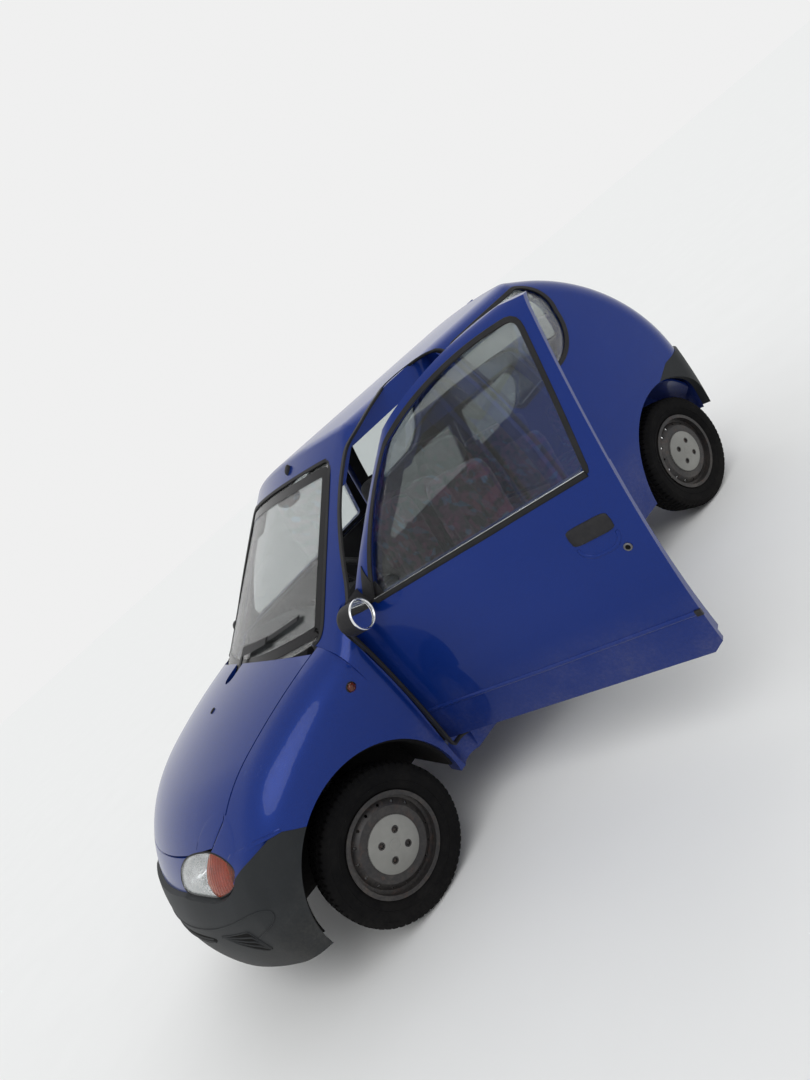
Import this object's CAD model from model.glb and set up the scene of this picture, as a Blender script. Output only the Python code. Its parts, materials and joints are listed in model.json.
"""Looks of a small three-door city car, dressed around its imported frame.

Lengths are in metres. Shapes are worked out in the car's own frame: origin on the floor under the middle of
the wheelbase, +X forward, +Y left, +Z up, every door shut. put() carries them to the stored place, and
turns what rides on the left door open with it. A shape is a pair of points and faces.
"""
import json
import math

import bmesh
import bpy
import numpy as np
from mathutils import Matrix, Vector
from mathutils.bvhtree import BVHTree


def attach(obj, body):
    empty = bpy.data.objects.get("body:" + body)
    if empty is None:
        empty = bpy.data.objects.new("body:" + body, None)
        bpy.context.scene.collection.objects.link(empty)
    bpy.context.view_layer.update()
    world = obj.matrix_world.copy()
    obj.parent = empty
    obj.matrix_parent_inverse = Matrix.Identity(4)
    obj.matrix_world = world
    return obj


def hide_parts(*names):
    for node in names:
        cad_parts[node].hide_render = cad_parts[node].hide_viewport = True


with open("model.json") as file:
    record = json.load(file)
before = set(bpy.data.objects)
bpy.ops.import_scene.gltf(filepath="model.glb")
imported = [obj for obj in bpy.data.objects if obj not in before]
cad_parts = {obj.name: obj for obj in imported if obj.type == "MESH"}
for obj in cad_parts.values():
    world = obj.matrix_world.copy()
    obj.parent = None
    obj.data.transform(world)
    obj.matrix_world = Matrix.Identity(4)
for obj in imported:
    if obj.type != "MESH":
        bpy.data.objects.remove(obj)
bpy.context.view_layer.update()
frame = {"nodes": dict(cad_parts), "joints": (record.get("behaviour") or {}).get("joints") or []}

# Driving places, read from the frame's joints
JOINTS = {joint["name"]: joint for joint in frame["joints"]}
WHEELS = ("front_left", "front_right", "rear_left", "rear_right")
MIDDLE = np.mean([JOINTS[f"wheel_{wheel}_spin"]["pos_m"] for wheel in WHEELS], axis=0) * (1, 1, 0)
HUBS = {wheel: np.array(JOINTS[f"wheel_{wheel}_spin"]["pos_m"]) - MIDDLE for wheel in WHEELS}
DOOR_HINGE = np.array(JOINTS["door_left_hinge"]["pos_m"]) - MIDDLE
DOOR_OPEN = math.radians(JOINTS["door_left_hinge"]["range_deg"][1])
SIDES = {"left": 1, "right": -1}
SHELL = "body_shell"
FLIP = np.array([1, -1, 1])

# Shading: points merged within MERGE, solids' points welded within WELD, edges over SPLIT degrees sharp
MERGE = 1e-6
WELD = 2e-5
SPLIT = 28

# Radius at which a turned section starts beside its axis
AXLE = 1e-5

# Wheels
TYRE_RADIUS = 0.266
TREAD_EDGE = 0.057
TREAD_GROOVES = (-0.033, -0.012, 0.012, 0.033)
TREAD_FALL = 0.0035
TREAD_START = 0.2616
SHOULDER_START = 0.036
GROOVE_HALF = 0.0032
TREAD_DEPTH = 0.0065
NICK_DEPTH = 0.0028
TYRE_STEPS = 462
RIM_RADIUS = 0.165
RIM_LIP = 0.175
CAP_RADIUS = 0.096
CAP_FACE = 0.033
CAP_FALL = 0.0095
CAP_EDGE = 0.0012
BOLT_CIRCLE = 0.049
BOLTS = 4
HOLE_RADIUS = 0.0115
HOLE_DEPTH = 0.011
BOSS_RADIUS = 0.0195

# Doors
HANDLE_AT = (-0.216, 0.799)
HANDLE_HALF = (0.068, 0.027)
HANDLE_CROWN = 0.0065
HANDLE_LEAN = 0.10
LOCK_AT = (-0.277, 0.711)
MIRROR_AT = (0.552, 0.811, 0.932)
MIRROR_RIM, MIRROR_GLASS = (0.0545, 0.0495), (0.050, 0.045)

# Front corner: the solid lamp's ellipse, and front-view (y, z) lines of the lamp, its split and the bumper
LAMP_Y, LAMP_Z, LAMP_TILT, LAMP_HALF = 0.508, 0.651, math.radians(-12), (0.106, 0.084)
OLD_REACH = 0.112
LAMP_LINE = (
    (0.250, 0.600), (0.268, 0.640), (0.310, 0.664), (0.365, 0.673), (0.430, 0.673), (0.490, 0.667),
    (0.545, 0.646), (0.585, 0.618), (0.603, 0.594), (0.590, 0.567), (0.550, 0.548), (0.495, 0.541),
    (0.440, 0.547), (0.370, 0.556), (0.300, 0.562), (0.262, 0.574),
)
LAMP_SPLIT = ((0.488, 0.669), (0.467, 0.646), (0.453, 0.621), (0.447, 0.590), (0.462, 0.560), (0.492, 0.539))
BUMPER_EDGE = (
    (0.415, 0.572), (0.445, 0.547), (0.495, 0.537), (0.552, 0.544), (0.594, 0.564), (0.612, 0.590),
    (0.640, 0.603), (0.680, 0.615), (0.705, 0.622), (0.725, 0.630), (0.742, 0.645),
)
BUMPER_STAND = 0.017
BULB_AT = (0.385, 0.622)
LENS_PROUD, LENS_CROWN, LENS_THICK = 0.0015, 0.0055, 0.003
BOWL_SINK, BOWL_DEPTH, BOWL_THICK = 0.003, 0.010, 0.0015
WING_CENTRE = np.array([1.25, 0.45])

# Pads: voxel size of their mesh, air pressure and frames of the cloth run, width of a seam
PAD_VOXEL = 0.011
PAD_PRESSURE = 4.0
PAD_FRAMES = 20
SEAM_WIDTH = 0.008

# Cabin: middle of the front seats and of the driver's controls
SEAT_Y = 0.340

# Colours, as base colours
PAINT_BLUE = (0.005, 0.038, 0.27)
PAINT_DEEP = (0.002, 0.014, 0.115)
PAINT_METAL = 0.35
PAINT_COAT = 0.5
DUST = (0.42, 0.38, 0.32)
PLASTIC_GREY = (0.017, 0.019, 0.021)
RUBBER_BLACK = (0.008, 0.008, 0.009)

# Stage: world light, background, lamps (name, where from, width in degrees, strength), floor and camera
SKY_LIGHT = 0.76
BACKGROUND = 0.87
LAMPS = (("key", (2.5, 4.0, 6.0), 40.0, 0.85), ("fill", (-3.5, -3.5, 5.0), 55.0, 0.35))
FLOOR_REACH = 60.0
EYE = (1.533, 3.062, 1.480)
TARGET = (-0.125, -0.170, 0.760)
ROLL = math.radians(41.1)
SENSOR, LENS = 36.0, 24.9


def unit(vectors):
    """Vectors divided by their own length."""
    vectors = np.asarray(vectors, float)
    return vectors / np.maximum(np.linalg.norm(vectors, axis=-1, keepdims=True), 1e-12)


def turn(points, angle, axis=2):
    """Points turned by angle about an axis through the origin."""
    a, b = [(1, 2), (2, 0), (0, 1)][axis]
    turned = np.array(points, float)
    turned[..., a] = points[..., a] * math.cos(angle) - points[..., b] * math.sin(angle)
    turned[..., b] = points[..., a] * math.sin(angle) + points[..., b] * math.cos(angle)
    return turned


def put(points, body):
    """Car frame to stored place; on the left door the points also turn open about its hinge."""
    points = np.asarray(points, float).reshape(-1, 3)
    if body == "door_left":
        points = turn(points - DOOR_HINGE, -DOOR_OPEN) + DOOR_HINGE
    return points + MIDDLE


def mirrored(points, sign):
    """Left-side points, or their mirror image for the right side."""
    return np.asarray(points, float) * np.array([1, sign, 1])


def grid_faces(rows, cols, wrap_rows=False, wrap_cols=False):
    """Quads between neighbouring points of a rows by cols grid, closed round where it wraps."""
    i = np.arange(rows if wrap_rows else rows - 1)[:, None]
    j = np.arange(cols if wrap_cols else cols - 1)[None, :]
    i1, j1 = (i + 1) % rows, (j + 1) % cols
    corners = [i * cols + j, i * cols + j1, i1 * cols + j1, i1 * cols + j]
    return np.stack([np.broadcast_to(c, corners[0].shape).ravel() for c in corners], 1).tolist()


def make(name, shape, material, body=SHELL, sign=1, sharp=35):
    """Piece from a left-side shape: merged, turned outwards, smooth but for edges over sharp degrees."""
    points, faces = shape
    mesh = bpy.data.meshes.new(name)
    mesh.from_pydata(put(mirrored(points, sign), body).tolist(), [], faces)
    work = bmesh.new()
    work.from_mesh(mesh)
    bmesh.ops.remove_doubles(work, verts=work.verts, dist=MERGE)
    bmesh.ops.recalc_face_normals(work, faces=work.faces)
    work.to_mesh(mesh)
    work.free()
    mesh.polygons.foreach_set("use_smooth", np.ones(len(mesh.polygons), bool))
    mesh.set_sharp_from_angle(angle=math.radians(sharp))
    mesh.materials.append(MATERIAL[material])
    piece = bpy.data.objects.new(name, mesh)
    bpy.context.scene.collection.objects.link(piece)
    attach(piece, body)
    return piece


def both(*makers):
    """Call the makers for the left side, then for the right."""
    for side, sign in SIDES.items():
        for maker in makers:
            maker(side, sign)


def arc(a, b, c, steps=24):
    """Points on the circle through a, b and c, from a to c, in the plane of their two coordinates."""
    a, b, c = (np.asarray(p, float) for p in (a, b, c))
    m = 2 * np.array([b - a, c - a])
    centre = np.linalg.solve(m, [b @ b - a @ a, c @ c - a @ a])
    start, mid, end = (math.atan2(*(p - centre)[::-1]) for p in (a, b, c))
    span, part = (end - start) % (2 * math.pi), (mid - start) % (2 * math.pi)
    span = span if part < span else span - 2 * math.pi
    t = start + span * np.linspace(0, 1, steps)
    radius = np.linalg.norm(a - centre)
    return centre + radius * np.stack([np.cos(t), np.sin(t)], 1)


def evenly(points, steps, closed=False):
    """Points along a polyline at even distances."""
    points = np.asarray(points, float)
    if closed:
        points = np.vstack([points, points[:1]])
    along = np.concatenate([[0], np.cumsum(np.linalg.norm(np.diff(points, axis=0), axis=1))])
    wanted = np.linspace(0, along[-1], steps, endpoint=not closed)
    return np.stack([np.interp(wanted, along, points[:, k]) for k in range(points.shape[1])], 1)


def softened(points, closed, times=2):
    """Polyline, each point moved to half itself and a quarter of each neighbour, times over; ends stay."""
    for _ in range(times):
        mean = (np.roll(points, 1, 0) + 2 * points + np.roll(points, -1, 0)) / 4
        if not closed:
            mean[0], mean[-1] = points[0], points[-1]
        points = mean
    return points


def strip(line, profile, closed):
    """Shape of a profile carried along a line, which is a path with its normals.

    Each point is path + side * across + normal * out, where side is normal x tangent.
    """
    path = np.asarray(line[0], float)
    normal = unit(np.broadcast_to(line[1], path.shape))
    tangent = np.roll(path, -1, 0) - np.roll(path, 1, 0) if closed else np.gradient(path, axis=0)
    side = unit(np.cross(normal, unit(tangent)))
    across, out = np.asarray(profile, float).T
    points = path[:, None] + side[:, None] * across[None, :, None] + normal[:, None] * out[None, :, None]
    rows, cols = points.shape[:2]
    faces = grid_faces(rows, cols, closed, True)
    if not closed:
        faces += [list(range(cols)), [(rows - 1) * cols + k for k in range(cols)]]
    return points.reshape(-1, 3), faces


def half_round(width, height, sink=0.003, steps=9):
    """Profile of a bead: half an ellipse of that width and height on a base sunk a little."""
    t = np.linspace(0, math.pi, steps)
    bead = np.stack([width / 2 * np.cos(t), height * np.sin(t)], 1)
    return np.vstack([bead, [[-width / 2, -sink], [width / 2, -sink]]])


def flat_band(width, height, sink=0.003, edge=0.0015):
    """Profile of a flat strip with small chamfers, sunk a little."""
    w = width / 2
    right = [(w, -sink), (w, height - edge), (w - edge, height)]
    return np.array(right + [(-across, out) for across, out in right[::-1]])


def lathe(profile, steps, centre=(0, 0, 0), outward=1, ripple=None):
    """Profile (radius, out) turned about the Y axis through centre; ripple(angle, radius, out) moves it."""
    radius, out = np.asarray(profile, float).T
    angle = np.linspace(0, 2 * math.pi, steps, endpoint=False)
    r = np.broadcast_to(radius[None, :], (steps, len(radius)))
    y = np.broadcast_to(out[None, :], (steps, len(radius))).copy()
    a = np.broadcast_to(angle[:, None], r.shape)
    if ripple:
        r, y = ripple(a, r, y)
    points = np.stack([r * np.cos(a), outward * y, r * np.sin(a)], 2) + np.asarray(centre, float)
    return points.reshape(-1, 3), grid_faces(steps, len(radius), True, False)


def disc(rows, steps, half, dish):
    """Dished disc facing X: half holds its half sizes along Y and Z, dish(share) gives X at each share."""
    t = np.linspace(0, 2 * math.pi, steps, endpoint=False)
    r = np.linspace(0, 1, rows)[:, None]
    points = np.stack([dish(r) + 0 * t, half[0] * r * np.cos(t), half[1] * r * np.sin(t)], 2)
    return points.reshape(-1, 3), grid_faces(rows, steps, False, True)


def swung(shape, *ways):
    """Shape whose X, Y and Z are its old axes 1, 2 or 3 in the given order, turned round where negative."""
    points, faces = shape
    return np.stack([math.copysign(1, way) * points[:, abs(way) - 1] for way in ways], 1), faces


def placed(shape, place, lean=0.0):
    """Shape leaned about Y and moved to its place."""
    points, faces = shape
    return turn(points, lean, 1) + place, faces


def pillow(size, round_plan, round_side, steps=(72, 36)):
    """Rounded box, a superellipsoid with half sizes size; the nearer its powers are to 0, the squarer."""
    u = np.linspace(-math.pi, math.pi, steps[0], endpoint=False)
    v = np.linspace(-math.pi / 2, math.pi / 2, steps[1])
    a, b = np.meshgrid(u, v, indexing="ij")

    def bent(value, power):
        return np.sign(value) * np.abs(value) ** power

    cap = bent(np.cos(b), round_side)
    plan = cap * bent(np.cos(a), round_plan), cap * bent(np.sin(a), round_plan)
    points = np.stack([*plan, bent(np.sin(b), round_side)], 2)
    return points.reshape(-1, 3) * size, grid_faces(steps[0], steps[1], True, False)


def slab(front, back):
    """Closed slab between two rows by cols grids of points, its rim closed by quads."""
    rows, cols = front.shape[:2]
    count = rows * cols
    faces = grid_faces(rows, cols)
    faces += [[i + count for i in reversed(face)] for face in faces]
    rim = [i * cols for i in range(rows)] + [(rows - 1) * cols + j for j in range(1, cols)]
    rim += [i * cols + cols - 1 for i in range(rows - 2, -1, -1)] + list(range(cols - 2, 0, -1))
    around = rim[1:] + rim[:1]
    faces += [[a, b, b + count, a + count] for a, b in zip(rim, around)]
    return np.vstack([front.reshape(-1, 3), back.reshape(-1, 3)]), faces


# Rays cast on the CAD nodes
TREES = {}


def tree(node):
    """Search tree of a CAD node's faces, in stored place."""
    if node not in TREES:
        mesh = frame["nodes"][node].data
        faces = [face.vertices for face in mesh.polygons]
        TREES[node] = BVHTree.FromPolygons([v.co for v in mesh.vertices], faces)
    return TREES[node]


def meet(points, nodes, ways):
    """Where rays along ways first meet the nodes, and the faces' normals; nan where they meet none."""
    points = np.asarray(points, float).reshape(-1, 3)
    ways = unit(np.broadcast_to(ways, points.shape))
    found, normals = np.full(points.shape, np.nan), np.full(points.shape, np.nan)
    for k, (p, way) in enumerate(zip(points, ways)):
        hits = [tree(node).ray_cast(Vector(p + MIDDLE - way), Vector(way), 2.5) for node in nodes]
        hits = [hit for hit in hits if hit[0] is not None]
        if hits:
            place, normal = min(hits, key=lambda hit: hit[3])[:2]
            found[k] = np.array(place) - MIDDLE
            normals[k] = np.array(normal) * (-1 if normal.dot(Vector(way)) > 0 else 1)
    return found, normals


def cast(points, nodes, ways, slip=(0, 1, 1)):
    """Where rays meet the nodes, and the normals there.

    A ray that meets none takes the nearest one's place, shifted by slip times the distance between them.
    """
    points = np.asarray(points, float).reshape(-1, 3)
    found, normals = meet(points, nodes, ways)
    known = np.flatnonzero(~np.isnan(found[:, 0]))
    assert len(known), f"nothing met on {nodes}"
    near = known[np.abs(known[None, :] - np.arange(len(points))[:, None]).argmin(1)]
    lost = np.isnan(found[:, 0])
    found[lost] = found[near][lost] + (points - points[near])[lost] * np.array(slip)
    normals[lost] = normals[near][lost]
    return found, normals


def on_side(xz, nodes, closed=True):
    """Side-view path (x, z) laid on right-side nodes, given back for the left side with its normals."""
    xz = np.asarray(xz, float)
    start = np.stack([xz[:, 0], -np.ones(len(xz)), xz[:, 1]], 1)
    points, normals = cast(start, nodes, (0, 1, 0), slip=(1, 1, 1))
    return softened(points, closed, 1) * FLIP, unit(softened(normals, False)) * FLIP


def on_front(yz, nodes, closed=False, start_x=1.0, normal_times=2):
    """End-view path (y, z) laid on nodes from ahead, or from behind with start_x -1, and its normals."""
    yz = np.asarray(yz, float)
    start = np.stack([np.full(len(yz), start_x), yz[:, 0], yz[:, 1]], 1)
    points, normals = cast(start, nodes, (-start_x, 0, 0))
    return softened(points, closed, 2), unit(softened(normals, closed, normal_times))


def between(across, low, high, rows=12, x=1.0):
    """Front-view grid: columns at across, rows shared out between low and high at each column."""
    share = np.linspace(0, 1, rows)
    z = low[:, None] + (high - low)[:, None] * share
    y = np.broadcast_to(across[:, None], z.shape)
    return np.stack([np.full(z.shape, x), y, z], 2)


def laid_slab(grid, nodes, ways, lift, thick):
    """Slab laid on nodes: its front stands out by lift along the surface's normals."""
    points, normals = (part.reshape(grid.shape) for part in cast(grid, nodes, ways))
    return slab(points + normals * lift, points + normals * (lift - thick))


# Outlines in side view
def door_edge(steps=220):
    """Door outline: foot, front edge, screen pillar arc, roof arc and rear edge arc."""
    parts = [
        [(-0.270, 0.295), (0.729, 0.338), (0.729, 0.872), (0.608, 0.986)],
        arc((0.608, 0.986), (0.444, 1.138), (0.189, 1.333)),
        arc((0.189, 1.333), (-0.061, 1.390), (-0.319, 1.397)),
        arc((-0.399, 1.380), (-0.366, 0.933), (-0.310, 0.326)),
    ]
    return evenly(np.vstack(parts), steps, True)


def window_edge(steps=160):
    """Door glass outline: waist, screen pillar arc, roof arc and rear arc."""
    parts = [
        [(-0.298, 0.940), (0.552, 0.926)],
        arc((0.552, 0.926), (0.403, 1.118), (0.191, 1.292)),
        arc((0.191, 1.292), (-0.056, 1.352), (-0.330, 1.352)),
        arc((-0.349, 1.335), (-0.326, 1.126), (-0.298, 0.955)),
    ]
    return evenly(np.vstack(parts), steps, True)


def quarter_edge(steps=110):
    """Outline of the glass beside the rear bench."""
    parts = [
        [(-0.449, 1.010), (-0.468, 1.335), (-0.490, 1.352)],
        arc((-0.955, 1.352), (-1.024, 1.270), (-1.000, 1.160)),
        arc((-1.000, 1.160), (-0.925, 1.050), (-0.800, 0.995)),
        [(-0.480, 0.980)],
    ]
    return evenly(np.vstack(parts), steps, True)


# Materials
def node_group(name, inputs, outputs):
    """Empty shader node group with named inputs (name, kind, default) and outputs (name, kind)."""
    group = bpy.data.node_groups.new(name, "ShaderNodeTree")
    for label, kind, default in inputs:
        socket = group.interface.new_socket(label, in_out="INPUT", socket_type=f"NodeSocket{kind}")
        socket.default_value = default
    for label, kind in outputs:
        group.interface.new_socket(label, in_out="OUTPUT", socket_type=f"NodeSocket{kind}")
    return group, group.nodes.new("NodeGroupInput"), group.nodes.new("NodeGroupOutput")


class Tree:
    """Short hand for adding and joining nodes in a node tree."""

    def __init__(self, tree):
        self.tree = tree

    def add(self, kind, inputs=None, **settings):
        """Node of a kind, its settings set and its inputs given a value or a socket."""
        node = self.tree.nodes.new(f"ShaderNode{kind}")
        for key, value in settings.items():
            setattr(node, key, value)
        self.feed(node, inputs or {})
        return node

    def feed(self, node, inputs):
        """Give a node's inputs a value or a socket each."""
        for key, value in inputs.items():
            if isinstance(value, bpy.types.NodeSocket):
                self.tree.links.new(value, node.inputs[key])
            else:
                node.inputs[key].default_value = value

    def where(self):
        """Object coordinates."""
        return self.add("TexCoord").outputs["Object"]

    def math(self, operation, a, b=0.0, clamp=False):
        """Result of a Math node."""
        return self.add("Math", {0: a, 1: b}, operation=operation, use_clamp=clamp).outputs[0]

    def times(self, a, b):
        """Product of two values."""
        return self.math("MULTIPLY", a, b)

    def ramp(self, value, low, high, to_low=0.0, to_high=1.0):
        """Value mapped smoothly from low..high to to_low..to_high."""
        inputs = {0: value, 1: low, 2: high, 3: to_low, 4: to_high}
        return self.add("MapRange", inputs, interpolation_type="SMOOTHSTEP").outputs[0]

    def mix(self, share, a, b):
        """Colour a mixed towards colour b."""
        a, b = ((*c, 1) if isinstance(c, tuple) and len(c) == 3 else c for c in (a, b))
        return self.add("Mix", {0: share, 6: a, 7: b}, data_type="RGBA").outputs[2]

    def noise(self, scale, detail=3.0, rough=0.5, vector=None, **inputs):
        """Noise value over Object coordinates."""
        inputs |= {"Vector": vector or self.where(), "Scale": scale, "Detail": detail, "Roughness": rough}
        return self.add("TexNoise", inputs).outputs[0]

    def stretched(self, scale):
        """Object coordinates scaled by a different amount each way."""
        return self.add("Mapping", {"Vector": self.where(), "Scale": scale}).outputs[0]


def road_dust_group():
    """Mask of dust: strong below low, none above high, broken up by two noises, plus a thin film."""
    group, entry, leave = node_group(
        "road_dust",
        [("Low", "Float", 0.1), ("High", "Float", 0.8), ("Film", "Float", 0.04), ("Strength", "Float", 0.6)],
        [("Mask", "Float")],
    )
    t = Tree(group)
    height = t.add("SeparateXYZ", {0: t.where()}).outputs["Z"]
    inputs = {0: height, 1: entry.outputs["Low"], 2: entry.outputs["High"], 3: 1.0, 4: 0.0}
    rise = t.add("MapRange", inputs).outputs[0]
    patches = t.ramp(t.noise(5.0, 5.0, 0.6), 0.35, 0.75)
    fine = t.ramp(t.noise(90.0, 4.0, 0.7), 0.3, 0.8)
    worn = t.times(t.times(rise, entry.outputs["Strength"]), t.math("ADD", patches, 0.35))
    film = t.times(entry.outputs["Film"], t.math("ADD", patches, fine))
    mask = t.math("ADD", t.times(worn, t.math("ADD", fine, 0.4)), film, clamp=True)
    group.links.new(mask, leave.inputs["Mask"])
    return group


def scuff_group():
    """Mask of thin scratches: a stretched noise kept only near its middle value, in coarse patches."""
    inputs = [("Scale", "Float", 30.0), ("Amount", "Float", 0.5)]
    group, entry, leave = node_group("scuffs", inputs, [("Mask", "Float")])
    t = Tree(group)
    fine = t.noise(entry.outputs["Scale"], 2.0, 0.5, t.stretched((0.25, 1.0, 2.2)), Distortion=0.6)
    line = t.ramp(t.math("ABSOLUTE", t.math("SUBTRACT", fine, 0.5)), 0.0, 0.006, 1.0, 0.0)
    patches = t.ramp(t.noise(3.0, 2.0), 0.52, 0.7)
    group.links.new(t.times(t.times(line, patches), entry.outputs["Amount"]), leave.inputs["Mask"])
    return group


def inside_group():
    """Mask of faces that look the way Direction points, such as the inner face of a skin."""
    sockets = [("Direction", "Vector", (0, 0, -1))], [("Mask", "Float")]
    group, entry, leave = node_group("inside_mask", *sockets)
    t = Tree(group)
    inputs = {0: t.add("TexCoord").outputs["Normal"], 1: entry.outputs["Direction"]}
    facing = t.add("VectorMath", inputs, operation="DOT_PRODUCT").outputs["Value"]
    group.links.new(t.ramp(facing, 0.30, 0.36), leave.inputs["Mask"])
    return group


def grain_group():
    """Moulded grain: height of a cell pattern with a fine noise on top."""
    group, entry, leave = node_group("moulded_grain", [("Scale", "Float", 900.0)], [("Height", "Float")])
    t = Tree(group)
    cells = t.add("TexVoronoi", {"Vector": t.where(), "Scale": entry.outputs["Scale"]}).outputs["Distance"]
    fine = t.noise(t.times(entry.outputs["Scale"], 0.35), 2.0)
    group.links.new(t.math("ADD", cells, t.times(fine, 0.8)), leave.inputs["Height"])
    return group


def weave_group():
    """Woven cloth: height of two crossed waves under a third, and a mask of the threads' tone."""
    outputs = [("Height", "Float"), ("Tone", "Float")]
    group, entry, leave = node_group("weave", [("Threads", "Float", 900.0)], outputs)
    t = Tree(group)
    inputs = {"Vector": t.where(), "Scale": entry.outputs["Threads"], "Distortion": 0.4}
    x, y, z = (t.add("TexWave", inputs, bands_direction=way).outputs[1] for way in "XYZ")
    group.links.new(t.times(t.math("MAXIMUM", x, y), t.math("ADD", z, 0.4)), leave.inputs["Height"])
    group.links.new(t.ramp(t.noise(260.0, 3.0, 0.7), 0.3, 0.7), leave.inputs["Tone"])
    return group


GROUPS = {
    "dust": road_dust_group(),
    "scuffs": scuff_group(),
    "inside": inside_group(),
    "grain": grain_group(),
    "weave": weave_group(),
}


def use(t, group, **inputs):
    """A shared group placed in a material's tree with its own values."""
    node = t.tree.nodes.new("ShaderNodeGroup")
    node.node_tree = GROUPS[group]
    t.feed(node, inputs)
    return node


def surface(name, **plain):
    """New material: its tree helper and its Principled shader, with plain values set on the sockets."""
    material = bpy.data.materials.new(name)
    material.use_nodes = True
    shader = material.node_tree.nodes["Principled BSDF"]
    for key, value in plain.items():
        shader.inputs[key.replace("_", " ")].default_value = value
    return material, Tree(material.node_tree), shader


def join(t, value, shader, socket):
    """Link a value to a shader's socket."""
    t.tree.links.new(value, shader.inputs[socket])


def bumped(t, shader, height, distance, strength=1.0):
    """Bump from a height, as the shader's normal."""
    bump = t.add("Bump", {"Height": height, "Distance": distance, "Strength": strength})
    join(t, bump.outputs[0], shader, "Normal")


def paint(name, inner=None, dust=0.35, high=0.55):
    """Blue metallic paint: flakes, orange peel, dust low down and scratches; its inner face is dark trim."""
    material, t, shader = surface(
        name, Metallic=PAINT_METAL, Roughness=0.34, Specular_IOR_Level=0.1, Coat_Weight=PAINT_COAT,
        Coat_Roughness=0.03, Coat_IOR=1.38,
    )
    flake = t.ramp(t.noise(2600.0, 1.0), 0.40, 0.70)
    cloudy = t.noise(1.6, 4.0)
    colour = t.mix(flake, PAINT_DEEP, PAINT_BLUE)
    colour = t.mix(t.ramp(cloudy, 0.3, 0.8, 0.0, 0.35), colour, (0.004, 0.028, 0.21))
    dusty = use(t, "dust", Low=0.14, High=high, Film=0.004, Strength=dust).outputs["Mask"]
    scratch = use(t, "scuffs", Scale=38.0, Amount=0.55).outputs["Mask"]
    colour = t.mix(t.times(dusty, 0.5), colour, DUST)
    colour = t.mix(t.times(scratch, 0.22), colour, (0.22, 0.28, 0.42))
    rough = t.math("ADD", t.times(dusty, 0.45), 0.30, clamp=True)
    coat = t.math("SUBTRACT", PAINT_COAT, t.times(dusty, 0.45), clamp=True)
    if inner is not None:
        inside = use(t, "inside", Direction=inner).outputs["Mask"]
        outside = t.math("SUBTRACT", 1.0, inside)
        colour = t.mix(inside, colour, (0.030, 0.031, 0.034))
        rough = t.add("Mix", {0: inside, 2: rough, 3: 0.75}).outputs[0]
        coat = t.times(coat, outside)
        join(t, t.times(outside, PAINT_METAL), shader, "Metallic")
    join(t, colour, shader, "Base Color")
    join(t, rough, shader, "Roughness")
    join(t, coat, shader, "Coat Weight")
    bumped(t, shader, t.noise(420.0, 2.0), 0.00012, 0.35)
    return material


def plastic(name, colour, scale=900.0, depth=0.0002, rough=0.55, dust=0.5, high=0.5, film=0.05):
    """Moulded plastic: grain, pale worn patches and dust."""
    material, t, shader = surface(name, Roughness=rough, Specular_IOR_Level=0.16)
    faded = tuple(min(1.0, c * 1.4 + 0.002) for c in colour)
    tone = t.mix(t.ramp(t.noise(4.0, 5.0, 0.6), 0.35, 0.75), colour, faded)
    dusty = use(t, "dust", Low=0.10, High=high, Film=film, Strength=dust).outputs["Mask"]
    join(t, t.mix(t.times(dusty, 0.35), tone, DUST), shader, "Base Color")
    join(t, t.math("ADD", t.times(dusty, 0.3), rough, clamp=True), shader, "Roughness")
    bumped(t, shader, use(t, "grain", Scale=scale).outputs["Height"], depth, 0.6)
    return material


def rubber(name, colour=RUBBER_BLACK, rough=0.62):
    """Black rubber: matt, faintly chalky, with fine noise."""
    material, t, shader = surface(name, Roughness=rough, Specular_IOR_Level=0.3)
    chalk = t.ramp(t.noise(14.0, 6.0, 0.7), 0.4, 0.8, 0.0, 0.35)
    join(t, t.mix(chalk, colour, (0.03, 0.029, 0.028)), shader, "Base Color")
    bumped(t, shader, t.noise(700.0, 3.0), 0.00015, 0.5)
    return material


def tyre_rubber():
    """Worn tyre: dusty tread and shoulders, darker side walls."""
    material, t, shader = surface("tyre_rubber", Roughness=0.88, Specular_IOR_Level=0.08)
    dusty = t.ramp(t.noise(22.0, 6.0, 0.65), 0.35, 0.8)
    low = use(t, "dust", Low=0.0, High=0.30, Film=0.03, Strength=0.12).outputs["Mask"]
    tone = t.mix(t.times(dusty, 0.30), (0.004, 0.004, 0.0045), (0.016, 0.015, 0.014))
    join(t, t.mix(low, tone, (0.06, 0.055, 0.05)), shader, "Base Color")
    bumped(t, shader, t.noise(380.0, 4.0, 0.7), 0.0003, 0.6)
    return material


def bright(name, colour, rough, metallic=1.0, spots=0.25):
    """Bright metal with smudges."""
    material, t, shader = surface(name, Metallic=metallic)
    smudge = t.ramp(t.noise(18.0, 5.0, 0.6), 0.4, 0.8)
    join(t, t.mix(t.times(smudge, spots), colour, (0.25, 0.24, 0.22)), shader, "Base Color")
    join(t, t.math("ADD", t.times(smudge, 0.25), rough), shader, "Roughness")
    bumped(t, shader, t.noise(240.0, 2.0), 0.0001, 0.2)
    return material


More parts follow.
